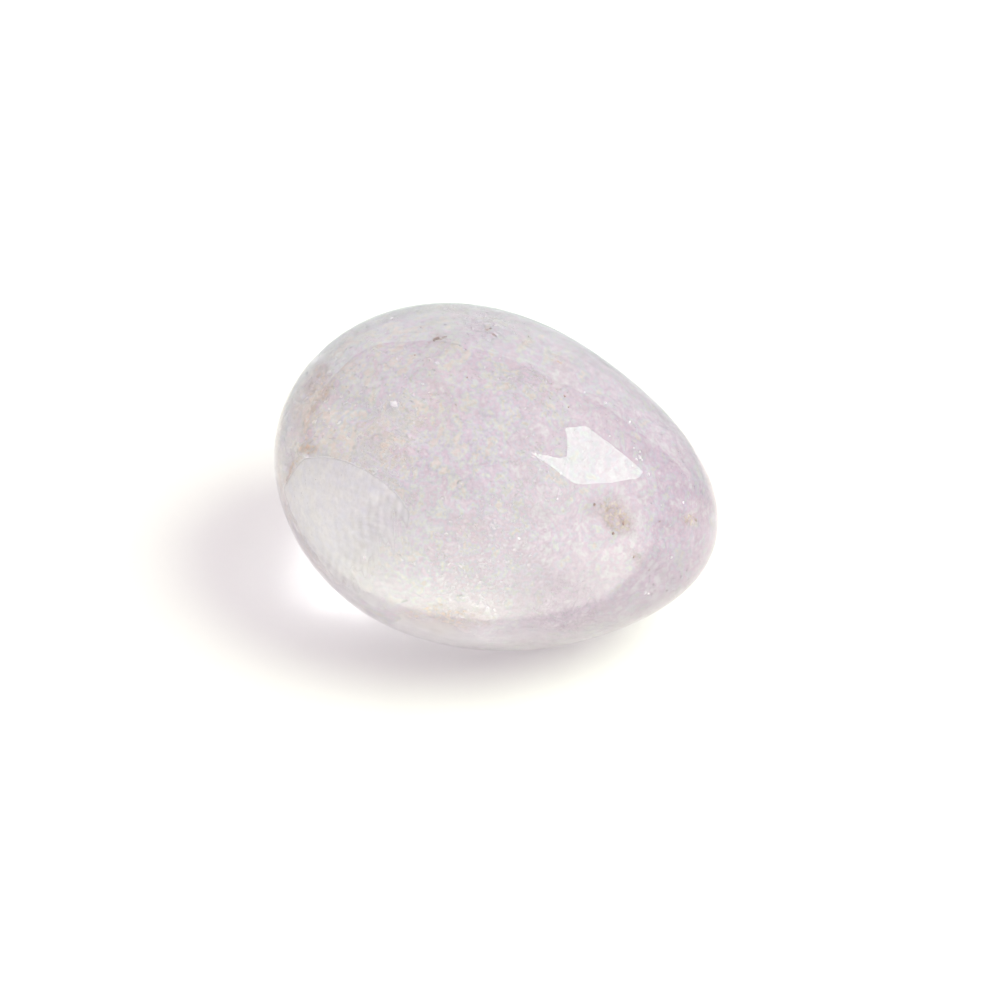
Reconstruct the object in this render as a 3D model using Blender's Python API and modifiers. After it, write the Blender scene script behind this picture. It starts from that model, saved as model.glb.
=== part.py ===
"""Polished egg of clear quartz, lying at rest on its side.

One natural stone, ground and polished all over: a turned egg form, blunt at
one end and narrower at the other, with a small flat spot where it rests.

Frame: metres, +Z up. The long way of the egg runs along X, narrow end
towards +X. The origin is the middle of the egg's footprint, on the surface
that the flat spot rests on.
"""

import math

import bpy

# --- driving dimensions (metres) -------------------------------------------
LENGTH = 0.0400          # tip to tip, along the egg's own axis
WIDTH = 0.0299           # largest diameter, across the axis
FLAT_HALF_WIDTH = 0.0026  # half the flat spot's width, across the egg

# Shape of the profile. The radius is that of an ellipse times a cubic of the
# height c, which goes from -1 at the blunt tip to +1 at the narrow tip.
TAPER = -0.152           # makes one end narrower than the other
FULLNESS = -0.049        # pulls both ends in a little
SHOULDER = 0.042         # keeps the narrow tip from getting too sharp

# Facets
RINGS = 40               # steps from tip to tip
SIDES = 64               # steps around the axis


def swell(c):
    """How far the outline departs from a plain ellipse at height c."""
    return 1.0 + TAPER * c + FULLNESS * c ** 2 + SHOULDER * c ** 3


def raw_radius(t):
    return math.sin(t) * swell(math.cos(t))


WIDEST = max(raw_radius(math.pi * i / 4000) for i in range(4001))
HALF = LENGTH / 2


def profile(t):
    """Point of the outline at angle t: distance from the axis, and height."""
    return 0.5 * WIDTH * raw_radius(t) / WIDEST, HALF * math.cos(t)


def centre_of_mass():
    """Height of the centre of mass on the axis, for an even stone."""
    steps = 4000
    volume = moment = 0.0
    for i in range(steps):
        r0, z0 = profile(math.pi * i / steps)
        r1, z1 = profile(math.pi * (i + 1) / steps)
        slice_volume = ((r0 + r1) / 2) ** 2 * (z0 - z1)
        volume += slice_volume
        moment += slice_volume * (z0 + z1) / 2
    return moment / volume


def slope(t):
    """Change of the radius for a step along the axis."""
    r0, z0 = profile(t - 1e-5)
    r1, z1 = profile(t + 1e-5)
    return (r1 - r0) / (z1 - z0)


def resting_contact():
    """Angle t of the point that the egg lies on.

    There the line square to the surface runs through the centre of mass, so
    the egg neither rocks towards its blunt end nor towards its narrow one.
    """
    mass_at = centre_of_mass()
    low, high = math.radians(60), math.radians(110)
    for _ in range(60):
        middle = (low + high) / 2
        radius, height = profile(middle)
        if height + radius * slope(middle) > mass_at:
            low = middle
        else:
            high = middle
    return (low + high) / 2


CONTACT = resting_contact()
CONTACT_RADIUS, CONTACT_HEIGHT = profile(CONTACT)
LEAN = math.atan(-slope(CONTACT))    # the narrow end lies lower by this angle
FLAT_DEPTH = FLAT_HALF_WIDTH ** 2 / (2 * CONTACT_RADIUS)

# Height of the middle of the axis above the surface, with the flat ground off
AXIS_HEIGHT = (
    CONTACT_RADIUS * math.cos(LEAN)
    + CONTACT_HEIGHT * math.sin(LEAN)
    - FLAT_DEPTH
)


def footprint_middle():
    """Where the middle of the leaning egg's length lies, along X."""
    along = []
    for i in range(2001):
        radius, height = profile(math.pi * i / 2000)
        for side in (-radius, radius):
            along.append(height * math.cos(LEAN) + side * math.sin(LEAN))
    return (min(along) + max(along)) / 2


def clear_scene():
    for found in list(bpy.data.objects):
        bpy.data.objects.remove(found, do_unlink=True)


def new_collection(name):
    made = bpy.data.collections.new(name)
    bpy.context.scene.collection.children.link(made)
    return made


def quartz_material():
    material = bpy.data.materials.new("clear_quartz")
    material.use_nodes = True
    shader = material.node_tree.nodes["Principled BSDF"]
    shader.inputs["Base Color"].default_value = (0.93, 0.90, 0.93, 1.0)
    shader.inputs["Metallic"].default_value = 0.0
    shader.inputs["Roughness"].default_value = 0.02
    shader.inputs["IOR"].default_value = 1.544
    shader.inputs["Transmission Weight"].default_value = 1.0
    return material


def turned_egg(collection):
    """The outline, from the narrow tip down to the blunt one, turned about Z."""
    mesh = bpy.data.meshes.new("egg")
    points = []
    for i in range(RINGS + 1):
        radius, height = profile(math.pi * i / RINGS)
        if i in (0, RINGS):
            radius = 0.0
        points.append((radius, 0.0, height))
    mesh.from_pydata(points, [(i, i + 1) for i in range(RINGS)], [])
    egg = bpy.data.objects.new("egg", mesh)
    collection.objects.link(egg)
    mesh.materials.append(quartz_material())

    turn = egg.modifiers.new("turn", "SCREW")
    turn.axis = "Z"
    turn.angle = 2 * math.pi
    turn.screw_offset = 0.0
    turn.steps = SIDES
    turn.render_steps = SIDES
    turn.use_merge_vertices = True
    turn.merge_threshold = 0.00001
    turn.use_smooth_shade = True

    # Lay it down: its axis comes to lie along +X, the narrow end a little low
    egg.rotation_euler = (0.0, math.pi / 2 + LEAN, 0.0)
    egg.location = (-footprint_middle(), 0.0, AXIS_HEIGHT)
    return egg


def grinding_block(collection):
    """Takes off the flat spot: a block whose top face is the plane z = 0."""
    bpy.ops.mesh.primitive_cube_add(size=1.0, location=(0.0, 0.0, 0.0))
    block = bpy.context.active_object
    block.name = "flat_spot_cutter"
    side, deep = 2 * LENGTH, 0.005
    for vertex in block.data.vertices:
        vertex.co.x *= side
        vertex.co.y *= side
        vertex.co.z = (vertex.co.z - 0.5) * deep
    for holder in list(block.users_collection):
        holder.objects.unlink(block)
    collection.objects.link(block)
    block.hide_render = True
    block.display_type = "WIRE"
    return block


def main():
    clear_scene()
    parts = new_collection("clear_quartz_egg")
    cutters = new_collection("cutters")
    egg = turned_egg(parts)
    block = grinding_block(cutters)

    flat = egg.modifiers.new("flat_spot", "BOOLEAN")
    flat.operation = "DIFFERENCE"
    flat.solver = "EXACT"
    flat.object = block


main()
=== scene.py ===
import math

import bmesh
import bpy
import numpy as np
from mathutils import Matrix, Vector


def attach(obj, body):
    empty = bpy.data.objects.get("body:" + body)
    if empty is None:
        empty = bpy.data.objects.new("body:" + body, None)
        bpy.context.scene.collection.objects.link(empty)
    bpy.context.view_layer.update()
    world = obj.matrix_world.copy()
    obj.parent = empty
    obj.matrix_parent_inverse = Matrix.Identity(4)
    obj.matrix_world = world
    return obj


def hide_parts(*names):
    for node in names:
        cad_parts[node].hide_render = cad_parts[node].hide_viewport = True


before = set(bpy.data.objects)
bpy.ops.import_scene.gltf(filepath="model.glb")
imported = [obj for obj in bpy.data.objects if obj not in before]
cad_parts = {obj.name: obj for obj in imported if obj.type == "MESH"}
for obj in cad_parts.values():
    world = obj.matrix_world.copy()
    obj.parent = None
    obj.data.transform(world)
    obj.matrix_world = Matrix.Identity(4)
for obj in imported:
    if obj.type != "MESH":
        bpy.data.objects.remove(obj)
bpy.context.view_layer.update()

MM = 0.001

# ---------------------------------------------------------------------------
# The egg's form, in millimetres: the same turned profile as the solid, plus
# the small unevenness that grinding by hand leaves.
# ---------------------------------------------------------------------------
LENGTH, WIDTH = 40.0, 29.9
TAPER, FULLNESS, SHOULDER = -0.152, -0.049, 0.042
FLAT_HALF_WIDTH = 2.6
HALF = LENGTH / 2


def swell(c):
    return 1.0 + TAPER * c + FULLNESS * c ** 2 + SHOULDER * c ** 3


_t = np.linspace(0.0, math.pi, 4001)
BELLY = WIDTH / 2 / (np.sin(_t) * swell(np.cos(_t))).max()


def radius_at(x):
    """Radius of the turned form at height x on its axis."""
    c = np.clip(x / HALF, -1.0, 1.0)
    return BELLY * np.sqrt(np.maximum(1.0 - c * c, 0.0)) * swell(c)


_x = HALF * np.cos(_t)[::-1]
_r = radius_at(_x)
_cut = (_r[1:] + _r[:-1]) ** 2 / 4 * np.diff(_x)
MASS_AT = float((_cut * (_x[1:] + _x[:-1]) / 2).sum() / _cut.sum())


def slope_at(x):
    return float(radius_at(x + 1e-4) - radius_at(x - 1e-4)) / 2e-4


_low, _high = -5.0, 8.0
for _ in range(60):
    _mid = (_low + _high) / 2
    if _mid + float(radius_at(_mid)) * slope_at(_mid) > MASS_AT:
        _high = _mid
    else:
        _low = _mid
TOUCH = (_low + _high) / 2
TOUCH_R = float(radius_at(TOUCH))
LEAN = math.atan(-slope_at(TOUCH))
AXIS_HEIGHT = (TOUCH_R * math.cos(LEAN) + TOUCH * math.sin(LEAN)
               - FLAT_HALF_WIDTH ** 2 / (2 * TOUCH_R))
_ends = [_x * math.cos(LEAN) + s * _r * math.sin(LEAN) for s in (-1, 1)]
MIDDLE = np.array([-(min(e.min() for e in _ends) + max(e.max() for e in _ends)) / 2,
                   0.0, AXIS_HEIGHT])

Z_UP = np.array([0.0, 0.0, 1.0])

# the egg's own directions: along its axis to the narrow tip, and two across
AXIS = np.array([math.cos(LEAN), 0.0, -math.sin(LEAN)])
SIDE = np.array([0.0, 1.0, 0.0])
UP = np.array([math.sin(LEAN), 0.0, math.cos(LEAN)])

# unevenness: terms in the angle from the narrow tip, to one side of the axis
UNEVEN = {3: -0.144, 4: -0.055, 5: -0.062, 6: -0.021}
UNEVEN_SIDE = math.radians(-137.6)


def surface(t, phi):
    """Points of the polished surface; t from the narrow tip, phi around."""
    t, phi = np.broadcast_arrays(np.asarray(t, float), np.asarray(phi, float))
    x = HALF * np.cos(t)
    r = BELLY * np.sin(t) * swell(np.cos(t))
    polar = np.arctan2(r, x)
    lift = sum(a * np.sin(k * polar) for k, a in UNEVEN.items()) * np.cos(phi - UNEVEN_SIDE)
    s = 1.0 + lift / np.hypot(r, x)
    p = (MIDDLE + (x * s)[..., None] * AXIS
         + (r * np.cos(phi) * s)[..., None] * SIDE
         + (r * np.sin(phi) * s)[..., None] * UP)
    return p


def mesh_object(name, points_mm, faces, smooth=True):
    mesh = bpy.data.meshes.new(name)
    mesh.from_pydata([tuple(map(float, p)) for p in np.asarray(points_mm) * MM], [], faces)
    mesh.validate()
    mesh.update()
    if smooth:
        mesh.shade_smooth()
    made = bpy.data.objects.new(name, mesh)
    bpy.context.scene.collection.objects.link(made)
    return made


def egg_mesh(name, rings=260, sides=280):
    t = np.linspace(0.0, math.pi, rings + 1)[1:-1]
    phi = np.linspace(0.0, 2 * math.pi, sides, endpoint=False)
    body = surface(t[:, None], phi[None, :]).reshape(-1, 3)
    tips = np.vstack([surface(1e-6, 0.0), surface(math.pi - 1e-6, 0.0)])
    points = np.vstack([body, tips])
    points[:, 2] = np.maximum(points[:, 2], 0.0)
    first, last = len(body), len(body) + 1
    faces = []
    for i in range(rings - 2):
        a, b = i * sides, (i + 1) * sides
        for j in range(sides):
            k = (j + 1) % sides
            faces.append((a + j, b + j, b + k, a + k))
    for j in range(sides):
        k = (j + 1) % sides
        faces.append((first, j, k))
        faces.append((last, (rings - 2) * sides + k, (rings - 2) * sides + j))
    return mesh_object(name, points, faces)


# ---------------------------------------------------------------------------
# Camera
# ---------------------------------------------------------------------------
AZIMUTH, ELEVATION = math.radians(15.0), math.radians(46.0)
DISTANCE, FOCAL = 400.0, 4538.3       # millimetres, and pixels of a 1000 px side
AIM = np.array([0.0, 0.0, 14.5])
OFF_X, OFF_Y = -0.384, 1.473

RIGHT = np.array([math.cos(AZIMUTH), math.sin(AZIMUTH), 0.0])
AHEAD = np.array([-math.sin(AZIMUTH) * math.cos(ELEVATION),
                  math.cos(AZIMUTH) * math.cos(ELEVATION), -math.sin(ELEVATION)])
ABOVE = np.cross(RIGHT, AHEAD)
EYE = AIM - DISTANCE * AHEAD - OFF_X * RIGHT - OFF_Y * ABOVE

camera_data = bpy.data.cameras.new("camera")
camera_data.sensor_fit = "HORIZONTAL"
camera_data.sensor_width = 36.0
camera_data.lens = 36.0 * FOCAL / 1000.0
camera_data.clip_start = 0.01
camera_data.clip_end = 20.0
camera = bpy.data.objects.new("camera", camera_data)
turn = Matrix((RIGHT, ABOVE, -AHEAD)).transposed().to_4x4()
camera.matrix_world = Matrix.Translation(Vector(EYE * MM)) @ turn
bpy.context.scene.collection.objects.link(camera)
bpy.context.scene.camera = camera


def sight(px, py):
    """Direction from the eye through a point of the picture."""
    d = AHEAD + (px - 500.0) / FOCAL * RIGHT - (py - 500.0) / FOCAL * ABOVE
    return d / np.linalg.norm(d)


def inside(p):
    q = p - MIDDLE
    x = float(q @ AXIS)
    return abs(x) < HALF and math.hypot(q @ SIDE, q @ UP) < radius_at(x)


def first_hit(start, direction):
    """Where a line meets the turned form, and the outward normal there."""
    base = float((MIDDLE - start) @ direction)
    far = base
    for step in np.arange(base - 24.0, base + 24.0, 0.05):
        if inside(start + step * direction):
            far = step
            break
    near = far - 0.05
    for _ in range(40):
        mid = (near + far) / 2
        if inside(start + mid * direction):
            far = mid
        else:
            near = mid
    p = start + far * direction
    q = p - MIDDLE
    x = float(q @ AXIS)
    across = (q @ SIDE) * SIDE + (q @ UP) * UP
    n = across / np.linalg.norm(across) - slope_at(x) * AXIS
    return p, n / np.linalg.norm(n)


# ---------------------------------------------------------------------------
# Light: a pale surface and a pale surround, and one large soft light to the
# right. The soft light's outline is laid out so that its reflection sits on
# the shoulder of the egg.
# ---------------------------------------------------------------------------
GLEAM = [(566, 427), (585, 424), (612, 446), (638, 470), (634, 476), (608, 481),
         (580, 483), (572, 481), (556, 468), (532, 452), (560, 457), (567, 455)]
LIGHT_AWAY = 700.0


def soft_light():
    rays = []
    for px, py in GLEAM:
        d = sight(px, py)
        p, n = first_hit(EYE, d)
        rays.append((p, d - 2 * (d @ n) * n))
    centre_way = sum(r for _, r in rays)
    centre_way /= np.linalg.norm(centre_way)
    centre = MIDDLE + LIGHT_AWAY * centre_way
    corners = [p + r * float((centre - p) @ centre_way) / float(r @ centre_way) for p, r in rays]
    return corners, centre_way


corners, light_way = soft_light()
light = mesh_object("soft_light", corners, [tuple(range(len(corners)))], smooth=False)


def emission(name, color, strength):
    material = bpy.data.materials.new(name)
    material.use_nodes = True
    nodes, links = material.node_tree.nodes, material.node_tree.links
    nodes.clear()
    glow = nodes.new("ShaderNodeEmission")
    glow.inputs["Color"].default_value = (*color, 1.0)
    glow.inputs["Strength"].default_value = strength
    out = nodes.new("ShaderNodeOutputMaterial")
    links.new(glow.outputs[0], out.inputs["Surface"])
    if name != "key_light":
        material.cycles.emission_sampling = "NONE"
    return material


light.data.materials.append(emission("soft_light", (0.84, 1.0, 0.90), 5.1))

# The key light that lights the surface and draws the shadow: round, soft,
# from the right. A second disc in the same place is what shines through the
# stone, weaker, because the flaws inside hold back much of that light.
FRONT = np.array([math.sin(AZIMUTH), -math.cos(AZIMUTH), 0.0])
KEY_AZIMUTH, KEY_ELEVATION, KEY_HALF_ANGLE = math.radians(14.0), math.radians(53.0), math.radians(19.0)
KEY_COLOR, KEY_STRENGTH = (0.93, 1.0, 0.80), 8.6
THROUGH_COLOR, THROUGH_STRENGTH = (1.0, 1.0, 0.97), 11.5


def disc_light(name, color, strength, away):
    way = (math.cos(KEY_ELEVATION) * (math.cos(KEY_AZIMUTH) * RIGHT + math.sin(KEY_AZIMUTH) * FRONT)
           + math.sin(KEY_ELEVATION) * np.array([0.0, 0.0, 1.0]))
    across = np.cross(way, [0.0, 0.0, 1.0])
    across /= np.linalg.norm(across)
    upward = np.cross(across, way)
    size = away * math.tan(KEY_HALF_ANGLE)
    rim = [way * away + size * (math.cos(a) * across + math.sin(a) * upward)
           for a in np.linspace(0, 2 * math.pi, 48, endpoint=False)]
    made = mesh_object(name, rim, [tuple(range(48))], smooth=False)
    made.data.materials.append(emission(name, color, strength))
    return made


def seen_by(made, *kinds):
    """Leaves an object visible to these kinds of ray only."""
    for kind in ("camera", "diffuse", "glossy", "transmission", "volume_scatter", "shadow"):
        setattr(made, "visible_" + kind, kind in kinds)
    return made


key = seen_by(disc_light("key_light", KEY_COLOR, KEY_STRENGTH, 900.0), "diffuse")
through = seen_by(disc_light("through_light", THROUGH_COLOR, THROUGH_STRENGTH, 880.0), "transmission")
seen_by(light, "glossy")

# A glowing card stands behind the egg and goes on over the surface in front of it as glowing strips, dimmer inwards,
# that stand in for that surface lit by the card; seen only in reflections, they are a painted reflection: the paler
# band along the egg's far side.
CARD_EDGE = [(284, 474), (288, 458), (294, 440), (302, 422), (311, 408), (319, 397), (326, 388), (332, 380), (340, 372), (354, 358), (376, 346), (410, 342), (448, 342), (484, 350),
             (520, 362), (560, 381), (600, 402), (630, 426), (660, 450), (672, 462), (684, 478), (692, 494), (699, 511), (704, 526)]
CARD_GLOW = 1.75


def glowing_reflection_card():
    points = []
    for px, py in CARD_EDGE:
        d = sight(px, py)
        p, n = first_hit(EYE, d)
        r = d - 2 * (d @ n) * n
        points.append(p + 600.0 * r)
    flat = [np.array([p[0], p[1], 0.0]) for p in points]
    rows = [points, [1.05 * p for p in flat], [0.35 * p + 0.3 * Z_UP for p in flat],
            [0.13 * p + 0.3 * Z_UP for p in flat], [0.075 * p + 0.3 * Z_UP for p in flat]]
    # glow of each row, the card and then the strips on the surface: a painted reflection of a lit surface
    level = [1.0, 0.78, 0.6, 0.55, 0.5]
    count = len(points)
    faces = [(r * count + i, r * count + i + 1, (r + 1) * count + i + 1, (r + 1) * count + i)
             for r in range(len(rows) - 1) for i in range(count - 1)]
    made = mesh_object("glowing_reflection_card", [p for row in rows for p in row], faces, smooth=False)
    ends = [min(1.0, 0.55 + 0.05 * i, 0.45 + 0.2 * (count - 1 - i)) for i in range(count)]
    glow = made.data.attributes.new("glow", "FLOAT", "POINT")
    glow.data.foreach_set("value", [max(0.93, CARD_GLOW * k * e) for k in level for e in ends])
    material = emission("glowing_reflection_card", (0.90, 1.0, 0.97), 1.0)
    nodes, links = material.node_tree.nodes, material.node_tree.links
    amount = nodes.new("ShaderNodeAttribute")
    amount.attribute_name = "glow"
    links.new(amount.outputs["Fac"], nodes["Emission"].inputs["Strength"])
    made.data.materials.append(material)
    return made


card = seen_by(glowing_reflection_card(), "glossy")

# What stands behind the surface in a level view: plain white.
around = [(2900 * math.cos(a), 2900 * math.sin(a)) for a in np.linspace(0, 2 * math.pi, 64, endpoint=False)]
backdrop = seen_by(mesh_object("backdrop", [(x, y, -5.0) for x, y in around] + [(x, y, 3000.0) for x, y in around],
                               [(i, (i + 1) % 64, 64 + (i + 1) % 64, 64 + i) for i in range(64)], smooth=False), "camera")
backdrop.data.materials.append(emission("backdrop", (1.0, 1.0, 1.0), 1.0))

# The surround: pale overhead, dimmer and a little plum towards the horizon.
world = bpy.data.worlds.new("surround")
bpy.context.scene.world = world
world.cycles.sampling_method = "NONE"
world.use_nodes = True
wn, wl = world.node_tree.nodes, world.node_tree.links
where = wn.new("ShaderNodeTexCoord")
split = wn.new("ShaderNodeSeparateXYZ")
wl.new(where.outputs["Generated"], split.inputs[0])
ramp = wn.new("ShaderNodeValToRGB")
ramp.color_ramp.elements[0].position = 0.0
ramp.color_ramp.elements[0].color = (0.83, 0.76, 0.80, 1.0)
ramp.color_ramp.elements[1].position = 0.75
ramp.color_ramp.elements[1].color = (1.0, 0.94, 0.95, 1.0)
wl.new(split.outputs["Z"], ramp.inputs[0])
wl.new(ramp.outputs[0], wn["Background"].inputs["Color"])
wn["Background"].inputs["Strength"].default_value = 1.02

floor = mesh_object("floor", [(-3000, -3000, -0.03), (3000, -3000, -0.03),
                              (3000, 3000, -0.03), (-3000, 3000, -0.03)], [(0, 1, 2, 3)], smooth=False)
floor_material = bpy.data.materials.new("pale_surface")
floor_material.use_nodes = True
shader = floor_material.node_tree.nodes["Principled BSDF"]
shader.inputs["Base Color"].default_value = (0.86, 0.86, 0.86, 1.0)
shader.inputs["Roughness"].default_value = 0.9
shader.inputs["Specular IOR Level"].default_value = 0.0
floor.data.materials.append(floor_material)

scene = bpy.context.scene
scene.view_settings.view_transform = "Standard"
scene.view_settings.look = "None"
scene.cycles.max_bounces = 20
scene.cycles.transmission_bounces = 16
scene.cycles.glossy_bounces = 12
scene.cycles.diffuse_bounces = 8
scene.cycles.transparent_max_bounces = 32
scene.cycles.caustics_refractive = True
scene.cycles.caustics_reflective = True
scene.cycles.blur_glossy = 0.3
scene.cycles.adaptive_threshold = 0.1

# ---------------------------------------------------------------------------
# The stone
# ---------------------------------------------------------------------------
egg = egg_mesh("quartz_egg")
quartz = bpy.data.materials.new("clear_quartz")
quartz.use_nodes = True
nodes, links = quartz.node_tree.nodes, quartz.node_tree.links
shader = nodes["Principled BSDF"]
shader.inputs["Base Color"].default_value = (1.0, 1.0, 1.0, 1.0)
shader.inputs["Roughness"].default_value = 0.0
shader.inputs["IOR"].default_value = 1.544
shader.inputs["Transmission Weight"].default_value = 1.0
absorb = nodes.new("ShaderNodeVolumeAbsorption")
absorb.inputs["Color"].default_value = (0.75, 0.74, 0.78, 1.0)
absorb.inputs["Density"].default_value = 10.0
links.new(absorb.outputs[0], nodes["Material Output"].inputs["Volume"])
egg.data.materials.append(quartz)
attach(egg, "root")
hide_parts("egg")

# ---------------------------------------------------------------------------
# What is sealed in the stone. Places are worked out along a line of sight
# that bends as it enters the quartz, and are in millimetres.
# ---------------------------------------------------------------------------
IOR = 1.544

_polar_t = np.linspace(0.0, math.pi, 721)
_polar_x = HALF * np.cos(_polar_t)
_polar_r = BELLY * np.sin(_polar_t) * swell(np.cos(_polar_t))
_polar_angle = np.arctan2(_polar_r, _polar_x)
_polar_far = np.hypot(_polar_r, _polar_x)


def held_in(points, margin=0.5):
    """Pulls points that would come too near the polished surface inwards."""
    q = np.asarray(points, float) - MIDDLE
    x = q @ AXIS
    far = np.linalg.norm(q, axis=-1) + 1e-9
    angle = np.arccos(np.clip(x / far, -1, 1))
    most = np.interp(angle, _polar_angle, _polar_far) - margin
    q = q * np.minimum(1.0, most / far)[..., None]
    p = MIDDLE + q
    p[..., 2] = np.maximum(p[..., 2], margin)
    return p


def room(start, ways, margin=0.5):
    """How far each direction can go from a point inside before the surface."""
    near, far = np.zeros(len(ways)), np.full(len(ways), 45.0)
    for _ in range(30):
        mid = (near + far) / 2
        p = start + mid[:, None] * ways
        q = p - MIDDLE
        reach = np.linalg.norm(q, axis=1)
        angle = np.arccos(np.clip((q @ AXIS) / (reach + 1e-9), -1, 1))
        ok = (reach < np.interp(angle, _polar_angle, _polar_far) - margin) & (p[:, 2] > margin)
        near, far = np.where(ok, mid, near), np.where(ok, far, mid)
    return near


def outside_by(p):
    """How far points are outside the turned form, across its axis."""
    q = p - MIDDLE
    x = q @ AXIS
    return np.where(np.abs(x) < HALF, np.hypot(q @ SIDE, q @ UP) - radius_at(x), 1.0)


def inner(px, py, depth):
    """Points inside the stone that show at places in the picture."""
    px, py, depth = (a.astype(float).ravel() for a in np.broadcast_arrays(px, py, depth))
    d = AHEAD + ((px - 500.0) / FOCAL)[:, None] * RIGHT - ((py - 500.0) / FOCAL)[:, None] * ABOVE
    d /= np.linalg.norm(d, axis=1)[:, None]
    base = d @ (MIDDLE - EYE)
    steps = np.arange(-22.0, 22.0, 0.25)
    along_ray = base[:, None] + steps[None, :]
    hit = outside_by(EYE + along_ray[..., None] * d[:, None, :]) < 0
    found = np.where(hit.any(axis=1), hit.argmax(axis=1), len(steps) // 2)
    far = along_ray[np.arange(len(px)), found]
    near = far - 0.25
    for _ in range(25):
        mid = (near + far) / 2
        ok = outside_by(EYE + mid[:, None] * d) < 0
        near, far = np.where(ok, near, mid), np.where(ok, mid, far)
    p = EYE + far[:, None] * d
    q = p - MIDDLE
    x = q @ AXIS
    across = q - x[:, None] * AXIS
    across /= np.linalg.norm(across, axis=1)[:, None]
    slope = (radius_at(x + 1e-4) - radius_at(x - 1e-4)) / 2e-4
    n = across - slope[:, None] * AXIS
    n /= np.linalg.norm(n, axis=1)[:, None]
    ratio = 1.0 / IOR
    c = -(d * n).sum(axis=1)
    bent = ratio * d + (ratio * c - np.sqrt(np.maximum(0.0, 1.0 - ratio ** 2 * (1.0 - c * c))))[:, None] * n
    return p + depth[:, None] * bent


def ripple(p, seed, size, octaves=3):
    """Smooth random heights for points, about -1 to 1, from summed waves."""
    rng = np.random.RandomState(seed)
    total, weight = np.zeros(np.asarray(p).shape[:-1]), 0.0
    for o in range(octaves):
        for _ in range(5):
            k = rng.normal(size=3)
            k *= 2 * math.pi * 2 ** o / size / np.linalg.norm(k)
            total = total + 0.6 ** o * np.sin(np.asarray(p) @ k + rng.uniform(0, 2 * math.pi))
        weight += 5 * 0.6 ** (2 * o)
    return total / math.sqrt(weight)


def add_fade(made, values):
    """Stores how strongly each point of a piece shows, 0 at its faded edges."""
    layer = made.data.attributes.new("fade", "FLOAT", "POINT")
    layer.data.foreach_set("value", np.clip(np.asarray(values, float), 0, 1).ravel().astype(np.float32))


def smooth(a, b, x):
    t = np.clip((np.asarray(x, float) - a) / (b - a), 0, 1)
    return t * t * (3 - 2 * t)


def sealed_in(made, material):
    made.data.materials.append(material)
    made.visible_shadow = False       # the polished skin stops these rays anyway
    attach(made, "root")
    return made


class Net:
    """Short hand for building a node tree."""

    def __init__(self, name):
        self.material = bpy.data.materials.new(name)
        self.material.use_nodes = True
        self.nodes, self.links = self.material.node_tree.nodes, self.material.node_tree.links
        self.shader = self.nodes["Principled BSDF"]

    def add(self, kind, **values):
        node = self.nodes.new(kind)
        for key, value in values.items():
            if key in node.inputs:
                node.inputs[key].default_value = value
            else:
                setattr(node, key, value)
        return node

    def place(self, scale=(1, 1, 1), turn=(0, 0, 0), shift=(0, 0, 0)):
        where = self.nodes.new("ShaderNodeTexCoord")
        mapping = self.nodes.new("ShaderNodeMapping")
        mapping.inputs["Scale"].default_value = scale
        mapping.inputs["Rotation"].default_value = turn
        mapping.inputs["Location"].default_value = shift
        self.links.new(where.outputs["Object"], mapping.inputs["Vector"])
        return mapping.outputs["Vector"]

    def noise(self, vector, scale, detail=3.0, rough=0.5, distortion=0.0):
        node = self.add("ShaderNodeTexNoise", Scale=scale, Detail=detail, Roughness=rough, Distortion=distortion)
        self.links.new(vector, node.inputs["Vector"])
        return node.outputs["Fac"]

    def ramp(self, value, stops):
        node = self.nodes.new("ShaderNodeValToRGB")
        elements = node.color_ramp.elements
        while len(elements) < len(stops):
            elements.new(0.5)
        for element, (at, color) in zip(elements, stops):
            element.position = at
            element.color = (*color, 1.0) if len(color) == 3 else color
        self.links.new(value, node.inputs["Fac"])
        return node.outputs["Color"]

    def level(self, value, low, high, to_low=0.0, to_high=1.0):
        node = self.nodes.new("ShaderNodeMapRange")
        node.clamp = True
        node.inputs["From Min"].default_value = low
        node.inputs["From Max"].default_value = high
        node.inputs["To Min"].default_value = to_low
        node.inputs["To Max"].default_value = to_high
        self.links.new(value, node.inputs["Value"])
        return node.outputs["Result"]

    def math(self, operation, a, b):
        node = self.nodes.new("ShaderNodeMath")
        node.operation = operation
        for slot, value in zip(node.inputs, (a, b)):
            if isinstance(value, (int, float)):
                slot.default_value = value
            else:
                self.links.new(value, slot)
        return node.outputs[0]

    def fade(self):
        node = self.nodes.new("ShaderNodeAttribute")
        node.attribute_name = "fade"
        return node.outputs["Fac"]

    def finish(self, color, alpha, roughness=0.9, specular=0.0):
        self.shader.inputs["Roughness"].default_value = roughness
        self.shader.inputs["Specular IOR Level"].default_value = specular
        if isinstance(color, tuple):
            self.shader.inputs["Base Color"].default_value = (*color, 1.0)
        else:
            self.links.new(color, self.shader.inputs["Base Color"])
        self.links.new(alpha, self.shader.inputs["Alpha"])
        return self.material


# Tones of the mottling: dull grey-green, lilac, pink, warm buff and a pale grey
GREEN, LILAC, PINK = (0.78, 0.85, 0.75), (0.76, 0.75, 0.88), (0.84, 0.63, 0.76)
BUFF, PALE = (0.95, 0.81, 0.72), (0.92, 0.88, 0.93)


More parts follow.
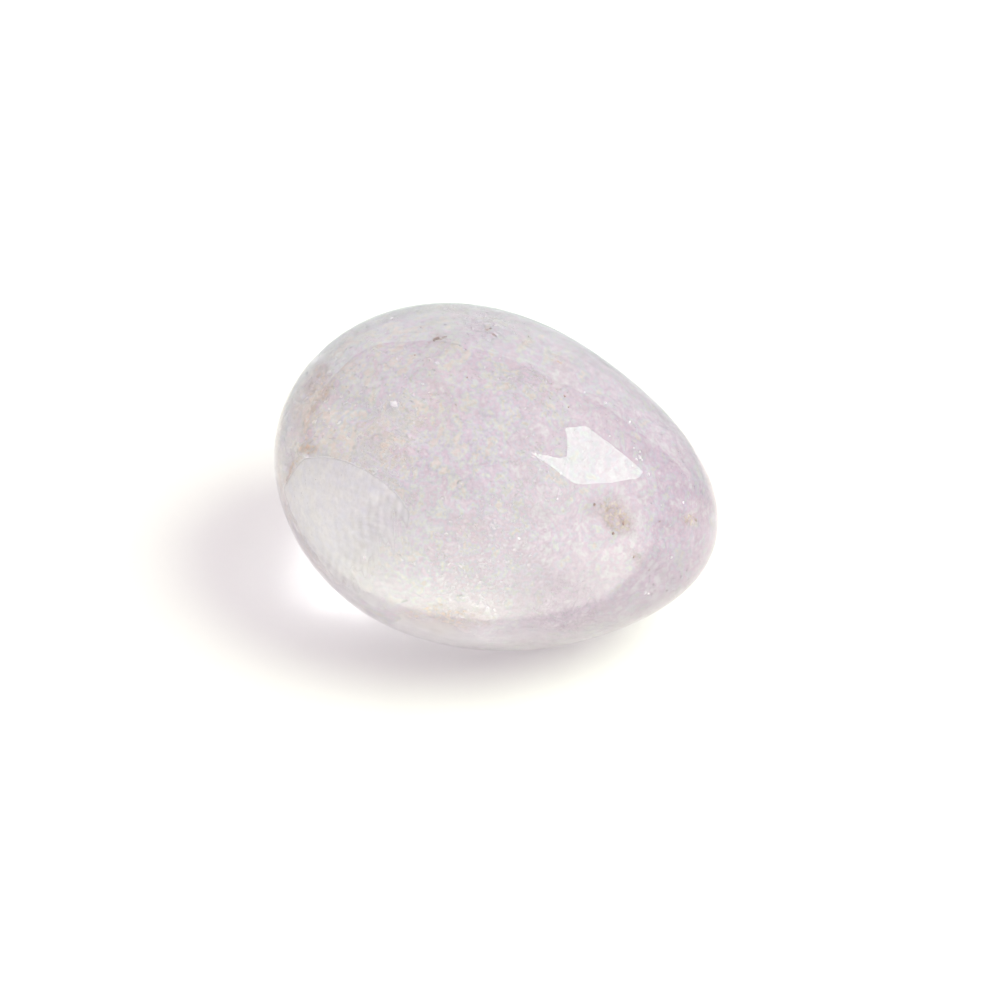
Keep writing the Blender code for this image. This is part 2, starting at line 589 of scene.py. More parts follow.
def veil_material(name, seed, most, patch=1900.0, least=0.35, drift=0.06, denser=1.0):
    """A healed fracture: a film of tiny flaws, patchy and nearly clear."""
    net = Net(name)
    at = net.place(shift=(0.013 * seed, 0.007 * seed, 0.011 * seed), scale=(1.0, 1.5, 1.2), turn=(0.4 * seed, 0.7, 0.5))
    cloud = net.noise(at, patch, detail=3.0, rough=0.7)
    hue = net.noise(net.place(shift=(0.03, 0.017 * seed, 0.0), scale=(1.3, 1.0, 1.1)), patch * 0.55, detail=4.0, rough=0.75)
    # greener and thinner towards the blunt end, pinker and denser towards the narrow one
    apart = net.nodes.new("ShaderNodeSeparateXYZ")
    where = net.nodes.new("ShaderNodeTexCoord")
    net.links.new(where.outputs["Object"], apart.inputs[0])
    lean = net.level(apart.outputs["X"], -0.013, 0.013, -drift, drift)
    broad = net.level(net.noise(net.place(shift=(0.0, 0.02, 0.013 * seed)), 380.0, detail=1.0), 0.35, 0.65, -0.05, 0.05)
    color = net.ramp(net.math("ADD", net.math("ADD", hue, broad), lean), [(0.36, BUFF), (0.42, GREEN), (0.49, LILAC), (0.56, PINK), (0.66, PALE)])
    thick = net.math("MULTIPLY", net.level(cloud, 0.32, 0.66, least, 1.0), net.fade())
    thick = net.math("MULTIPLY", thick, net.level(apart.outputs["X"], -0.016, 0.014, most, most * denser))
    return net.finish(color, thick)


def milk_material(name, seed, most, tone=(1.0, 0.99, 1.0)):
    """A faint, even haze."""
    net = Net(name)
    haze = net.noise(net.place(shift=(0.01 * seed, 0.0, 0.02 * seed)), 420.0, detail=1.5, rough=0.6)
    thick = net.math("MULTIPLY", net.math("MULTIPLY", net.level(haze, 0.3, 0.7, 0.6, 1.0), net.fade()), most)
    return net.finish(net.ramp(haze, [(0.3, tuple(0.97 * c for c in tone)), (0.7, tone)]), thick)


def shell(name, inset, wave, seed, material, rings=120, sides=150, size=7.0, clear=0.0, rise=None,
          sink=None, thin=0.0, gap=None, tilt=0.0):
    """A cloud of flaws that follows the egg's form, some way under its skin.

    It fades out upwards between the two heights rise, and downwards between
    the two heights sink, to thin; gap is a place around which it thins out, and tilt thins it towards
    the narrow end.
    """
    t = np.linspace(0.0, math.pi, rings + 1)[1:-1]
    phi = np.linspace(0.0, 2 * math.pi, sides, endpoint=False)
    skin = np.vstack([surface(t[:, None], phi[None, :]).reshape(-1, 3), surface(1e-6, 0.0), surface(math.pi - 1e-6, 0.0)])
    q = skin - MIDDLE
    far = np.linalg.norm(q, axis=1)
    q = q / far[:, None]
    deep = inset + wave * ripple(skin, seed, size, 3)
    points = held_in(MIDDLE + q * (far - deep)[:, None], 0.55)
    fade = smooth(-1.2, 0.6, ripple(points, seed + 3, 13.0, 2)) * (1.0 - clear) + clear
    if rise:
        fade = fade * (1.0 - smooth(*rise, points[:, 2] + 0.8 * ripple(points, seed + 5, 11.0, 2)))
    if sink:
        fade = fade * (thin + (1.0 - thin) * smooth(*sink, points[:, 2] + 0.5 * ripple(points, seed + 6, 11.0, 2)))
    fade = fade * (1.0 - tilt * smooth(-8.0, 8.0, points[:, 0]))
    if gap is not None:
        fade = fade * (0.25 + 0.75 * smooth(2.8, 4.8, np.linalg.norm(points - gap, axis=1)))
    first, last = len(points) - 2, len(points) - 1
    count = len(t)
    faces = []
    for j in range(sides):
        k = (j + 1) % sides
        faces.append((first, j, k))
        faces.append((last, (count - 1) * sides + k, (count - 1) * sides + j))
        for i in range(count - 1):
            faces.append((i * sides + j, (i + 1) * sides + j, (i + 1) * sides + k, i * sides + k))
    faces = [f for f in faces if max(fade[i] for i in f) > 0.004]
    used = sorted({i for f in faces for i in f})
    where = {old: new for new, old in enumerate(used)}
    made = mesh_object(name, points[used], [tuple(where[i] for i in f) for f in faces])
    add_fade(made, fade[used])
    return sealed_in(made, material)


def veil(name, centre, facing, bend, seed, material, margin=0.45, rings=46, sides=120, reach=1.0, ragged=0.0,
         wave=0.35, wave_size=9.0):
    """A curved sheet through the stone, which stops just under its surface."""
    facing = np.asarray(facing, float)
    facing /= np.linalg.norm(facing)
    u = np.cross(facing, [0.31, 0.87, 0.38])
    u /= np.linalg.norm(u)
    v = np.cross(facing, u)
    a = np.linspace(0, 2 * math.pi, sides, endpoint=False)
    ways = np.cos(a)[:, None] * u + np.sin(a)[:, None] * v
    far = room(np.asarray(centre, float), ways, margin) * reach
    if ragged:
        far = far * (1.0 - ragged * (0.5 + 0.5 * ripple(ways * 10.0, seed + 50, 9.0, 4)))
    f = np.linspace(0.0, 1.0, rings + 1)[1:]
    flat = np.asarray(centre) + (f[:, None, None] * far[None, :, None]) * ways[None]
    out = (f[:, None] * far[None, :])
    lift = bend * (out / 15.0) ** 2 + wave * ripple(flat, seed, wave_size)
    points = flat + lift[..., None] * facing
    top = np.asarray(centre) + wave * ripple(np.asarray([centre], float), seed, wave_size)[0] * facing
    points = held_in(points.reshape(-1, 3), margin)
    every = np.vstack([points, held_in(top[None], margin)])
    last = len(points)
    faces = [(last, j, (j + 1) % sides) for j in range(sides)]
    for i in range(rings - 1):
        for j in range(sides):
            k = (j + 1) % sides
            faces.append((i * sides + j, (i + 1) * sides + j, (i + 1) * sides + k, i * sides + k))
    made = mesh_object(name, every, faces)
    edge = 1.0 - smooth(0.80, 1.0, f)
    values = np.repeat(edge, sides)
    add_fade(made, np.append(values, 1.0))
    return sealed_in(made, material)


# Large veils. Each is faint; together they give the cloudy, mottled look.
CENTRE = MIDDLE + 0.0
shell("cloud_outer", 2.0, 0.45, 21, veil_material("cloud_outer", 2, 0.37, patch=1700.0, least=0.72, denser=1.25), clear=0.85,
      sink=(3.0, 6.5), gap=inner(322, 516, 1.5)[0])
shell("haze_lower", 1.6, 0.15, 33, milk_material("haze_lower", 6, 0.48), rings=70, sides=110, size=11.0, clear=0.8,
      rise=(9.0, 17.0), sink=(1.8, 6.0), thin=0.35, tilt=0.55)
veil("veil_slant", CENTRE + 1.5 * UP + 2.0 * AXIS, 0.75 * UP - 0.6 * SIDE + 0.25 * AXIS, 2.5, 7,
     veil_material("veil_slant", 7, 0.16, patch=1500.0), margin=0.7, ragged=0.25)
veil("veil_cross", CENTRE - 4.0 * AXIS, 0.62 * UP + 0.20 * SIDE - 0.75 * AXIS, 2.0, 11,
     veil_material("veil_cross", 11, 0.16, patch=2400.0), margin=0.7, ragged=0.3)

# Flecks: tiny flat flaws, gathered in clouds.
def flecks(name, seed, count, small, large, material, clouds, spread):
    rng = np.random.RandomState(seed)
    points, faces, fades = [], [], []
    centres = [MIDDLE + rng.uniform(-1, 1) * 16 * AXIS + rng.uniform(-1, 1) * 11 * SIDE + rng.uniform(-1, 1) * 11 * UP
               for _ in range(clouds)]
    facing = [rng.normal(size=3) for _ in range(clouds)]
    for i in range(count):
        at = rng.randint(clouds)
        n = facing[at] / np.linalg.norm(facing[at])
        off = rng.normal(size=3) * spread
        off -= 0.9 * (off @ n) * n
        p = held_in((centres[at] + off)[None], 0.5)[0]
        size = small * (large / small) ** (rng.rand() ** 2)
        m = n + 0.5 * rng.normal(size=3)
        m /= np.linalg.norm(m)
        u = np.cross(m, rng.normal(size=3))
        u /= np.linalg.norm(u)
        v = np.cross(m, u)
        sides = 6
        start = len(points)
        strength = rng.uniform(0.2, 1.0)
        for s in range(sides):
            a = 2 * math.pi * s / sides
            r = size * rng.uniform(0.6, 1.15)
            points.append(p + r * math.cos(a) * u + 0.6 * r * math.sin(a) * v)
            fades.append(strength)
        faces.append(tuple(range(start, start + sides)))
    made = mesh_object(name, held_in(np.array(points), 0.25), faces, smooth=False)
    add_fade(made, fades)
    return sealed_in(made, material)


def fleck_material(name, color, most):
    net = Net(name)
    grain = net.noise(net.place(), 9000.0, detail=1.0)
    alpha = net.math("MULTIPLY", net.math("MULTIPLY", net.level(grain, 0.2, 0.8, 0.6, 1.0), net.fade()), most)
    return net.finish(net.ramp(grain, [(0.3, color), (0.7, tuple(min(1.0, 1.08 * c) for c in color))]), alpha, roughness=0.6)


flecks("pale_flecks", 5, 2400, 0.04, 0.16, fleck_material("pale_fleck", (0.97, 0.97, 1.0), 0.55), 26, 3.2)
flecks("dull_flecks", 9, 1200, 0.04, 0.13, fleck_material("dull_fleck", (0.42, 0.38, 0.40), 0.35), 22, 3.0)


# ---------------------------------------------------------------------------
# Single features: threads, grains, stains, bubbles
# ---------------------------------------------------------------------------
class Gather:
    """Collects small shapes into one mesh."""

    def __init__(self):
        self.points, self.faces, self.fades = [], [], []

    def take(self, points, faces, fades):
        start = sum(len(p) for p in self.points)
        self.points.append(np.asarray(points, float))
        self.faces += [tuple(start + i for i in f) for f in faces]
        self.fades.append(np.asarray(fades, float))

    def make(self, name, material, margin=0.2, smooth_shade=True):
        made = mesh_object(name, held_in(np.vstack(self.points), margin), self.faces, smooth=smooth_shade)
        add_fade(made, np.concatenate(self.fades))
        return sealed_in(made, material)


def along(path, step=0.8):
    """Even points on a smooth line through the given ones."""
    path = np.asarray(path, float)
    run = np.concatenate([[0.0], np.cumsum(np.hypot(*np.diff(path, axis=0).T))])
    count = max(6, int(run[-1] / step))
    at = np.linspace(0.0, run[-1], count)
    line = np.stack([np.interp(at, run, path[:, k]) for k in (0, 1)], axis=1)
    for _ in range(3):
        line[1:-1] = (line[:-2] + 2 * line[1:-1] + line[2:]) / 4
    return line


def thread(group, path, depth, width, seed=0, wobble=0.5, strength=1.0, sink=0.0):
    """A thin film that shows as a line; width in pixels of the picture."""
    line = along(path)
    rng = np.random.RandomState(seed + 1000)
    count = len(line)
    way = np.gradient(line, axis=0)
    way /= np.linalg.norm(way, axis=1)[:, None] + 1e-9
    across = np.stack([-way[:, 1], way[:, 0]], axis=1)
    shake = np.convolve(rng.normal(size=count + 6), np.ones(4) / 4, "same")[3:-3] * wobble
    thick = width / 2 * (0.65 + 0.5 * np.abs(np.convolve(rng.normal(size=count + 8), np.ones(5) / 2.2, "same")[4:-4]))
    ends = np.sin(np.linspace(0.06, math.pi - 0.06, count)) ** 0.5
    sides = np.repeat((-1.0, -0.35, 0.35, 1.0), count)
    off = np.tile(shake, 4) + sides * np.tile(thick * ends, 4)
    where = np.tile(line, (4, 1)) + off[:, None] * np.tile(across, (4, 1))
    points = inner(where[:, 0], where[:, 1], depth + sink * (sides + 1) / 2)
    faces = [(k * count + i, k * count + i + 1, (k + 1) * count + i + 1, (k + 1) * count + i)
             for k in range(3) for i in range(count - 1)]
    fades = np.array([[0.0] * count, list(strength * ends), list(strength * ends), [0.0] * count]).ravel()
    group.take(points, faces, fades)


_ball = bmesh.new()
bmesh.ops.create_icosphere(_ball, subdivisions=3, radius=1.0)
BALL_POINTS = np.array([v.co[:] for v in _ball.verts])
BALL_FACES = [tuple(v.index for v in f.verts) for f in _ball.faces]
_ball.free()


def grain(group, px, py, depth, size, seed=0, stretch=(1.0, 1.0, 0.6), turn=0.0, rough=0.35, strength=1.0):
    """A small irregular grain; size is its half width in pixels."""
    scale = size * DISTANCE / FOCAL
    p = BALL_POINTS * (1.0 + rough * ripple(BALL_POINTS * 10.0, seed, 16.0, 3))[:, None] * np.asarray(stretch)
    c, s = math.cos(turn), math.sin(turn)
    x, y = c * p[:, 0] - s * p[:, 1], s * p[:, 0] + c * p[:, 1]
    centre = inner(px, py, depth)[0]
    points = centre + scale * (x[:, None] * RIGHT + y[:, None] * ABOVE + p[:, 2:3] * AHEAD)
    group.take(points, BALL_FACES, [strength] * len(points))


def stain(group, outline, depth, seed, soft=0.5, crumple=0.15, strength=1.0, steps=10, facing=None, fade_at=None):
    """A film that shows as an outline, fading to its edge.

    It follows the skin at a depth, or lies in a plane with a facing.
    """
    outline = np.asarray(outline, float)
    middle = outline.mean(axis=0)
    turned = np.arctan2(outline[:, 1] - middle[1], outline[:, 0] - middle[0])
    order = np.argsort(turned)
    turned, span = turned[order], np.hypot(*(outline - middle).T)[order]
    around = np.linspace(-math.pi, math.pi, steps * 4, endpoint=False)
    reach = np.interp(around, turned, span, period=2 * math.pi)
    f = np.repeat(np.arange(1, steps + 1) / steps, len(around))
    x = np.append(middle[0], middle[0] + f * np.tile(reach * np.cos(around), steps))
    y = np.append(middle[1], middle[1] + f * np.tile(reach * np.sin(around), steps))
    if facing is not None:
        facing = np.asarray(facing) / np.linalg.norm(facing)
        depth = depth_to_plane(x, y, inner(*middle, depth)[0], facing)
    points = inner(x, y, depth)
    fades = strength * (1.0 - smooth(1.0 - soft, 1.0, np.append(0.0, f)))
    if fade_at is not None:
        fades = fades * fade_at(x, y)
    points = points + (crumple * ripple(points, seed, 2.2, 4))[:, None] * sight(*middle)
    count = len(around)
    faces = [(0, 1 + j, 1 + (j + 1) % count) for j in range(count)]
    for i in range(steps - 1):
        for j in range(count):
            k = (j + 1) % count
            a, b = 1 + i * count, 1 + (i + 1) * count
            faces.append((a + j, b + j, b + k, a + k))
    group.take(points, faces, fades)


def depth_to_plane(px, py, at, facing, least=0.5, most=16.0):
    """Depth along each bent line of sight at which it meets a plane."""
    p0, p1 = inner(px, py, 0.0), inner(px, py, 1.0)
    run = (p1 - p0) @ facing
    return np.clip(((at - p0) @ facing) / run, least, most)


def blob(x, y, w, h, turn=0.0, seed=0, points=14, rough=0.25):
    """A rough oval outline, w by h pixels."""
    rng = np.random.RandomState(seed + 77)
    a = np.linspace(0, 2 * math.pi, points, endpoint=False)
    r = 1.0 + rough * rng.uniform(-1, 1, points)
    c, s = math.cos(turn), math.sin(turn)
    u, v = w / 2 * np.cos(a) * r, h / 2 * np.sin(a) * r
    return np.stack([x + c * u - s * v, y + s * u + c * v], axis=1)


def stain_material(name, dark, pale, most, scale=3200.0, low=0.38, high=0.62, least=0.1, squeeze=(1, 1, 1), turn=(0, 0, 0)):
    """Colour that settled in a crack, patchy, from dark to pale; also used for painted shade (the lower edge, the
    bubble rims) and painted light (the feather).
    """
    net = Net(name)
    at = net.place(scale=squeeze, turn=turn)
    rough = net.noise(at, scale, detail=4.0, rough=0.7)
    tone = net.noise(net.place(shift=(0.05, 0.02, 0.01)), scale * 0.6, detail=2.0)
    alpha = net.math("MULTIPLY", net.math("MULTIPLY", net.level(rough, low, high, least, 1.0), net.fade()), most)
    return net.finish(net.ramp(tone, [(0.35, dark), (0.65, pale)]), alpha)


def solid_material(name, dark, pale, roughness=0.5, scale=6000.0, specular=0.3):
    """A grain of another mineral, a little uneven in tone; the white grains use it as painted glints."""
    net = Net(name)
    tone = net.noise(net.place(), scale, detail=3.0)
    net.links.new(net.ramp(tone, [(0.35, dark), (0.65, pale)]), net.shader.inputs["Base Color"])
    net.shader.inputs["Roughness"].default_value = roughness
    net.shader.inputs["Specular IOR Level"].default_value = specular
    return net.material


# the iron-stained seam on the left, where the far face of a crack comes up
rust = Gather()
thread(rust, [(322, 362), (328, 375), (333, 387), (327, 397), (317, 404), (311, 413), (309, 425), (306, 437), (301, 446)],
       2.2, 7.0, 1, wobble=1.6, strength=0.8, sink=1.0)
thread(rust, [(319, 366), (324, 379), (322, 392), (312, 402), (305, 414), (303, 428), (299, 441)], 3.0, 4.0, 2,
       wobble=1.4, strength=0.6, sink=0.8)
thread(rust, [(296, 453), (303, 449), (311, 450), (321, 447)], 2.0, 5.5, 3, wobble=1.2, strength=1.0, sink=0.6)
thread(rust, [(301, 446), (295, 455), (291, 467), (288, 478), (285, 490)], 1.8, 3.6, 4, wobble=0.9, strength=0.8)
thread(rust, [(306, 446), (299, 459), (296, 472), (293, 483)], 2.4, 2.6, 5, wobble=1.0, strength=0.5)
thread(rust, [(334, 398), (341, 404), (345, 412)], 2.6, 2.2, 6, wobble=1.0, strength=0.6)
thread(rust, [(346, 429), (358, 426), (373, 420), (384, 417)], 1.4, 1.7, 7, wobble=0.6, strength=0.75)
thread(rust, [(422, 396), (431, 395), (441, 394)], 1.2, 1.8, 8, wobble=0.4, strength=0.9)
thread(rust, [(361, 390), (374, 388), (388, 386)], 1.5, 1.8, 9, wobble=0.5, strength=0.5)
thread(rust, [(401, 489), (408, 501), (419, 515)], 1.5, 2.6, 10, wobble=0.8, strength=0.55)
thread(rust, [(431, 537), (440, 549), (450, 562)], 1.5, 2.8, 11, wobble=0.8, strength=0.5)
thread(rust, [(606, 507), (618, 515), (628, 524), (634, 532)], 4.0, 3.4, 12, wobble=1.6, strength=0.7)
thread(rust, [(602, 516), (612, 522), (616, 532)], 4.2, 2.6, 13, wobble=1.4, strength=0.5)
thread(rust, [(630, 548), (636, 560), (646, 566)], 4.4, 2.0, 14, wobble=1.4, strength=0.4)
rust.make("iron_threads", stain_material("iron_threads", (0.38, 0.22, 0.13), (0.78, 0.50, 0.32), 0.75, scale=4200.0))

crust, olive = Gather(), Gather()
stain(crust, [(312, 356), (324, 358), (334, 366), (340, 380), (341, 398), (336, 406), (322, 400), (312, 398), (304, 404),
              (303, 392), (308, 372)], 2.4, 51, strength=0.75, soft=0.6, steps=14)
stain(crust, [(315, 398), (322, 402), (319, 420), (314, 436), (307, 448), (298, 452), (299, 440), (304, 424), (308, 408)],
      2.2, 52, strength=0.95, soft=0.5, steps=14)
stain(crust, [(294, 447), (302, 443), (312, 444), (321, 446), (320, 452), (308, 455), (298, 455)], 1.8, 53, strength=1.0,
      soft=0.5)
stain(crust, [(296, 452), (300, 456), (297, 470), (291, 484), (286, 488), (287, 474), (291, 460)], 1.6, 54, strength=0.9,
      soft=0.5)
stain(olive, [(598, 492), (614, 494), (630, 506), (640, 518), (638, 536), (624, 541), (608, 535), (598, 520), (590, 504)],
      1.6, 55, strength=1.0, soft=0.6, steps=14)
stain(olive, [(680, 514), (690, 511), (699, 518), (698, 526), (688, 528), (680, 523)], 1.4, 56, strength=1.0, soft=0.6)
stain(olive, [(626, 542), (636, 548), (648, 562), (644, 572), (634, 562), (627, 552)], 1.6, 57, strength=0.6, soft=0.7)
stain(olive, [(430, 334), (448, 333), (450, 343), (432, 345)], 1.8, 58, strength=0.7, soft=0.7)
crust.make("rust_crust", stain_material("rust_crust", (0.52, 0.35, 0.26), (0.94, 0.68, 0.50), 0.62, scale=3000.0, low=0.46,
                                        high=0.60, least=0.06))

olive.make("olive_crust", stain_material("olive_crust", (0.47, 0.39, 0.30), (0.82, 0.76, 0.62), 0.58, scale=3000.0, low=0.40,
                                         high=0.58, least=0.22))

# stains: rust, and the warm and cool patches
warm = Gather()
stain(warm, blob(319, 382, 34, 52, 0.25, 1), 2.6, 1, strength=0.55)
stain(warm, blob(308, 447, 30, 14, -0.1, 2), 2.2, 2, strength=0.8)
stain(warm, blob(302, 430, 16, 44, 0.15, 3), 2.8, 3, strength=0.35)
stain(warm, blob(616, 516, 36, 26, 0.4, 4), 4.3, 4, strength=0.9)
stain(warm, blob(690, 519, 20, 15, -0.2, 5), 3.0, 5, strength=1.0)
stain(warm, blob(442, 616, 130, 26, 0.05, 6), 2.0, 6, strength=1.0)
stain(warm, blob(372, 566, 22, 26, 0.3, 7), 3.4, 7, strength=0.4)
stain(warm, blob(388, 448, 66, 44, 0.5, 8), 3.0, 8, strength=0.75)
stain(warm, blob(440, 415, 74, 34, -0.2, 9), 3.5, 9, strength=0.6)
stain(warm, blob(527, 343, 15, 10, 0.2, 10), 2.2, 10, strength=0.8)
stain(warm, blob(557, 360, 20, 12, 0.4, 11), 2.4, 11, strength=0.8)
stain(warm, blob(358, 338, 9, 7, 0.0, 12), 2.0, 12, strength=0.9)
stain(warm, blob(379, 342, 8, 8, 0.0, 13), 2.0, 13, strength=0.8)
stain(warm, blob(406, 337, 9, 6, 0.0, 14), 2.2, 14, strength=0.8)
stain(warm, blob(675, 452, 24, 20, 0.8, 15), 2.6, 15, strength=0.35)
stain(warm, blob(470, 530, 50, 28, 0.3, 16), 4.5, 16, strength=0.45)
warm.make("warm_stains", stain_material("warm_stains", (0.92, 0.58, 0.38), (1.0, 0.80, 0.60), 0.50, scale=2400.0, low=0.42, high=0.62, least=0.05))

cool = Gather()
stain(cool, blob(450, 620, 14, 26, 0.1, 21), 2.2, 21, strength=1.0, soft=0.6)
stain(cool, blob(520, 575, 90, 44, -0.1, 22), 4.0, 22, strength=0.4)
stain(cool, blob(560, 585, 50, 30, 0.2, 23), 3.4, 23, strength=0.4)
stain(cool, blob(470, 500, 60, 60, 0.0, 24), 5.5, 24, strength=0.25)
cool.make("cool_stains", stain_material("cool_stains", (0.78, 0.86, 0.98), (0.95, 0.98, 1.0), 0.5, scale=2400.0, least=0.3))

# painted shade: a darker mauve film along the lower edge, towards the narrow end, standing in for the shade seen along
# that edge
rim_shade = Gather()
stain(rim_shade, [(470, 634), (500, 638), (530, 640), (560, 640), (600, 631), (634, 614), (656, 598), (652, 588), (630, 600),
              (600, 612), (560, 620), (520, 622), (480, 620)], 1.1, 61, strength=1.0, soft=0.8, steps=18)
rim_shade.make("mauve_rim_shade", stain_material("mauve_rim_shade", (0.66, 0.52, 0.64), (0.84, 0.73, 0.82), 0.45, scale=2000.0,
                                         least=0.6))

# the feather low on the left: a clean-edged crack, and partly painted light: its near-white film over the lower left
# stands in for the light focused through the stone onto that side
feather = Gather()
FEATHER = [(281, 488), (287, 477), (294, 466), (303, 456.5), (320, 455.5), (339, 458), (357, 465), (374, 474), (392, 488),
           (408, 507), (420, 532), (426, 562), (424, 590), (405, 600), (384, 600), (362, 598), (343, 587), (328, 573),
           (315, 557), (303, 539), (293, 520), (285, 502)]


def feather_fade(x, y):
    run = ((x - 289) * 0.80 + (y - 466) * 0.60) / 165.0
    streak = 0.04 * np.sin(0.75 * x + 1.7 * np.sin(y / 10.0)) + 0.05 * np.sin(0.31 * x - 0.17 * y + 2.0 * np.sin(y / 17.0))
    return 1.0 - smooth(0.42, 0.98, run + streak + 0.05 * np.sin(x / 9.0) * np.sin(y / 7.0 + 1.0))


stain(feather, FEATHER, 0.95, 31, soft=0.06, crumple=0.08, steps=40, fade_at=feather_fade)
feather.make("feather_and_painted_caustic", stain_material("feather_and_painted_caustic", (0.93, 0.94, 1.0), (1.0, 1.0, 1.0), 0.78, scale=1900.0,
                                              low=0.3, high=0.66, least=0.84, squeeze=(1.5, 0.8, 1.0), turn=(0.0, 0.5, 0.6)))

# pale and grey wisps
wisps = Gather()
rng = np.random.RandomState(71)
for i in range(26):
    x, y = rng.uniform(306, 412), rng.uniform(478, 592)
    if inside(inner(x, y, 2.0)[0]) and (x - 289) * 0.55 + 470 > y - 70:
        length, lean = rng.uniform(8, 26), rng.uniform(0.45, 1.0)
        thread(wisps, [(x, y), (x + 0.5 * length * math.cos(lean), y - 0.5 * length * math.sin(lean) - 1.0),
                       (x + length * math.cos(lean), y - length * math.sin(lean))],
               rng.uniform(1.4, 2.5), rng.uniform(1.0, 2.4), 200 + i, wobble=0.8, strength=rng.uniform(0.3, 0.9))
thread(wisps, [(547, 374), (547, 379), (546, 385)], 2.0, 1.6, 240, strength=0.9)
thread(wisps, [(524, 358), (528, 362), (531, 364)], 1.6, 1.8, 241, strength=0.9)
thread(wisps, [(548, 352), (560, 354), (572, 358)], 1.8, 1.6, 242, strength=0.6)
for i in range(20):
    x, y = rng.uniform(420, 660), rng.uniform(400, 600)
    length, lean = rng.uniform(6, 18), rng.uniform(-0.6, 1.2)
    thread(wisps, [(x, y), (x + length * math.cos(lean), y - length * math.sin(lean))], rng.uniform(2.0, 7.0),
           rng.uniform(1.0, 2.2), 260 + i, wobble=1.0, strength=rng.uniform(0.2, 0.5))
wisps.make("pale_wisps", stain_material("pale_wisps", (0.95, 0.96, 1.0), (1.0, 1.0, 1.0), 0.75, scale=5200.0))

grey = Gather()
thread(grey, [(333, 538), (348, 527), (364, 513)], 1.8, 1.6, 301, wobble=1.2, strength=0.5)
thread(grey, [(326, 556), (334, 548), (340, 545)], 1.8, 1.4, 302, wobble=0.8, strength=0.5)
thread(grey, [(366, 500), (372, 492), (376, 480)], 2.2, 1.4, 303, wobble=0.8, strength=0.4)
thread(grey, [(349, 484), (348.5, 487), (349, 491)], 1.1, 1.6, 304, wobble=0.2, strength=1.0)
thread(grey, [(383, 488), (387, 486), (390, 484)], 1.1, 1.8, 305, wobble=0.2, strength=1.0)
thread(grey, [(378, 499), (382, 498)], 1.1, 1.4, 306, wobble=0.2, strength=0.7)
thread(grey, [(471, 510), (476, 509), (480, 506)], 1.1, 1.4, 307, wobble=0.2, strength=0.8)
thread(grey, [(438, 478), (442, 476), (446, 476)], 1.1, 1.2, 308, wobble=0.2, strength=0.6)
thread(grey, [(402, 603), (405, 601), (409, 599)], 1.1, 2.4, 309, wobble=0.3, strength=1.0)
thread(grey, [(456, 597), (460, 595), (464, 596)], 1.2, 3.4, 310, wobble=0.6, strength=0.6)
thread(grey, [(486, 321), (491, 319), (495, 320)], 1.6, 1.4, 311, wobble=0.4, strength=0.8)
thread(grey, [(485, 328), (484, 324), (486, 321)], 1.6, 1.2, 312, wobble=0.3, strength=0.7)
thread(grey, [(441, 319), (447, 318)], 1.6, 2.0, 313, wobble=0.3, strength=0.4)
rng = np.random.RandomState(91)
for i in range(26):
    x, y = rng.uniform(400, 650), rng.uniform(350, 610)
    length, lean = rng.uniform(5, 20), rng.uniform(-0.5, 1.3)
    thread(grey, [(x, y), (x + length * math.cos(lean), y - length * math.sin(lean))], rng.uniform(2.0, 8.0),
           rng.uniform(0.9, 1.8), 330 + i, wobble=1.0, strength=rng.uniform(0.15, 0.4))
# painted shade: dark arcs around the two bubbles, standing in for the dark rims that light gives a bubble
for x, y, r, seed in ((460.6, 484.0, 3.5, 314), (442.6, 498.4, 2.2, 320)):
    for turn, sweep, width in ((2.3, 2.6, 1.7), (-0.9, 1.7, 1.2)):
        arc = np.linspace(turn - sweep / 2, turn + sweep / 2, 9)
        thread(grey, np.stack([x + r * np.cos(arc), y - r * np.sin(arc)], axis=1), 0.5, width, seed, wobble=0.0, strength=1.0)
grey.make("grey_threads_and_bubble_rim_shade", stain_material("grey_threads_and_bubble_rim_shade", (0.30, 0.26, 0.28), (0.52, 0.47, 0.50), 0.62, scale=5200.0,
                                         least=0.3))

# dark grains
dark = Gather()
grain(dark, 436.5, 338.5, 1.5, 2.3, 401, (1.2, 0.8, 0.6), 0.3)
grain(dark, 434.0, 340.0, 1.5, 1.3, 402)
grain(dark, 440.5, 339.5, 1.6, 1.2, 403, (1.3, 0.6, 0.6), 0.5)
grain(dark, 444.5, 336.8, 1.5, 1.5, 404, (1.9, 0.45, 0.5), 0.35)
grain(dark, 487.5, 329.5, 1.5, 1.8, 405, (1.1, 0.7, 0.5), -0.2)
grain(dark, 490.0, 328.0, 1.5, 1.2, 406)
grain(dark, 494.0, 334.6, 1.5, 2.3, 407, (1.5, 0.42, 0.5), -0.7)
grain(dark, 594.5, 505.0, 1.2, 1.2, 408)
grain(dark, 623.4, 523.6, 1.2, 1.3, 409, (0.8, 1.2, 0.6), 0.2)
grain(dark, 613.2, 533.6, 1.2, 1.3, 410)
grain(dark, 634.0, 556.8, 1.2, 1.1, 411)
grain(dark, 695.5, 519.5, 1.6, 1.5, 412, (1.0, 0.8, 0.6))
grain(dark, 659.8, 521.0, 2.0, 0.9, 413)
grain(dark, 649.5, 570.0, 2.0, 0.8, 414)
grain(dark, 565.0, 395.7, 1.2, 1.1, 415)
grain(dark, 569.0, 407.0, 1.2, 0.9, 416)
grain(dark, 467.3, 377.4, 1.2, 0.9, 417)
grain(dark, 414.5, 355.0, 2.0, 0.8, 418)
rng = np.random.RandomState(401)
for i in range(30):
    x, y = rng.uniform(480, 690), rng.uniform(490, 610)
    if inside(inner(x, y, 1.6)[0]):
        grain(dark, x, y, rng.uniform(1.5, 7.0), rng.uniform(0.30, 0.65), 430 + i)
dark.make("dark_grains", solid_material("dark_grains", (0.16, 0.10, 0.10), (0.34, 0.22, 0.19)))
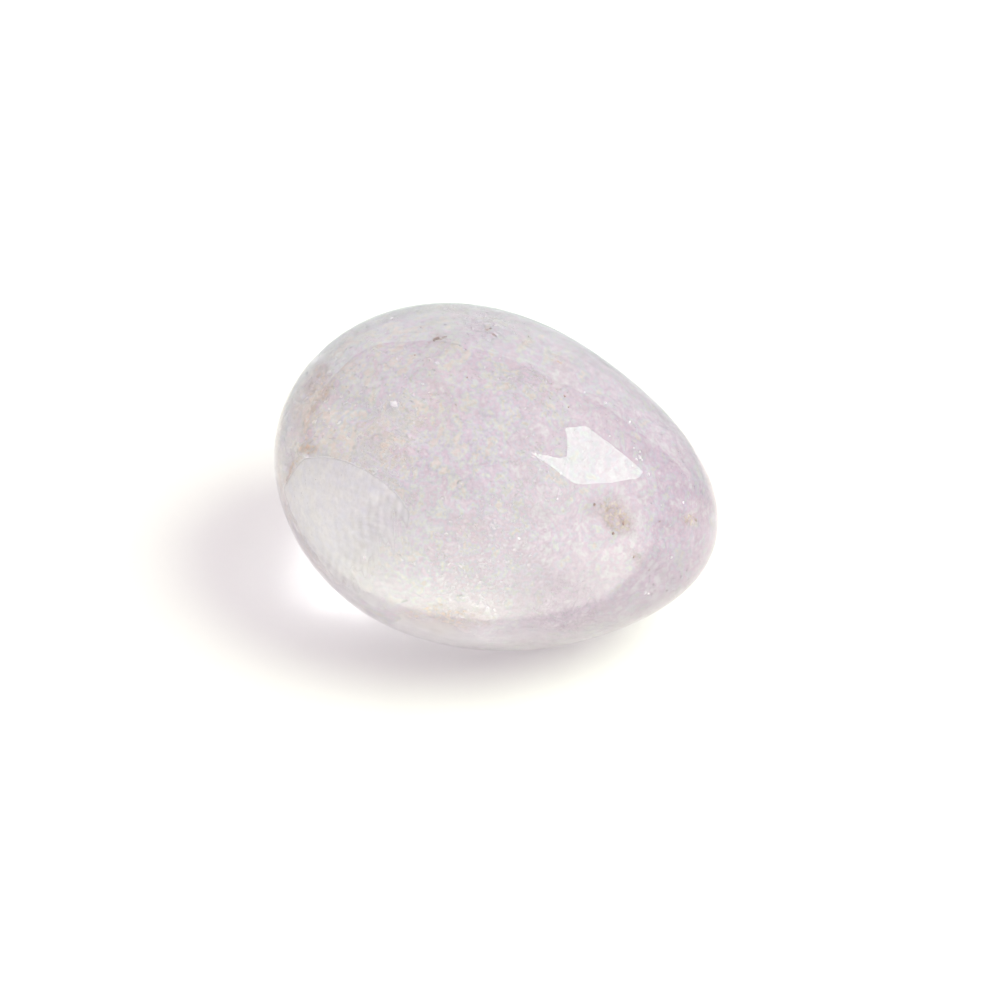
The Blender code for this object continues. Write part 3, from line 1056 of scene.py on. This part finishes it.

# painted glints: small white grains whose white colour stands in for tiny faces flashing in the light
bright = Gather()
grain(bright, 394.0, 404.2, 1.0, 2.6, 501, (0.9, 1.2, 0.3), 0.4, rough=0.5)
grain(bright, 391.8, 402.6, 1.0, 1.5, 502, (1.4, 0.6, 0.3), -0.5, rough=0.5)
for i, (x, y, size) in enumerate([(640.1, 451.7, 1.1), (639.6, 457.2, 1.6), (636.5, 459.3, 0.9), (642.0, 460.0, 0.9),
                                  (630.2, 422.0, 1.0), (683.0, 502.3, 0.9), (670.3, 524.8, 1.0), (671.6, 557.2, 1.0),
                                  (645.8, 593.6, 0.9), (649.0, 594.2, 0.9), (519.0, 538.5, 0.9), (391.8, 318.6, 1.2),
                                  (648.8, 474.6, 1.2), (632.0, 466.0, 0.7), (634.0, 448.0, 0.6), (557.5, 499.0, 0.6),
                                  (610.0, 436.0, 0.6), (661.0, 505.0, 0.6), (606.0, 402.5, 0.8), (585.0, 392.0, 0.6)]):
    grain(bright, x, y, 1.3, size, 510 + i, (1.0, 1.0, 0.35), rough=0.5)
bright.make("painted_glint_grains", solid_material("painted_glint_grains", (0.97, 0.97, 1.0), (1.0, 1.0, 1.0), roughness=0.25, specular=0.5))


# bubbles: hollows in the quartz, so their walls face inwards
def bubble(name, px, py, depth, size, squash=(1.0, 1.0, 1.0)):
    scale = size * DISTANCE / FOCAL
    centre = inner(px, py, depth)[0]
    p = BALL_POINTS * np.asarray(squash)
    points = centre + scale * (p[:, 0:1] * RIGHT + p[:, 1:2] * ABOVE + p[:, 2:3] * AHEAD)
    made = mesh_object(name, points, [f[::-1] for f in BALL_FACES])
    net = Net(name)
    mist = net.noise(net.place(), 12000.0, detail=2.0)
    net.links.new(net.level(mist, 0.4, 0.7, 0.0, 0.03), net.shader.inputs["Roughness"])
    net.shader.inputs["Base Color"].default_value = (1.0, 1.0, 1.0, 1.0)
    net.shader.inputs["IOR"].default_value = IOR
    net.shader.inputs["Transmission Weight"].default_value = 1.0
    return sealed_in(made, net.material)


bubble("bubble_large", 460.6, 484.0, 0.95, 3.9)
bubble("bubble_small", 442.6, 498.4, 0.8, 2.4, (1.0, 0.9, 1.0))
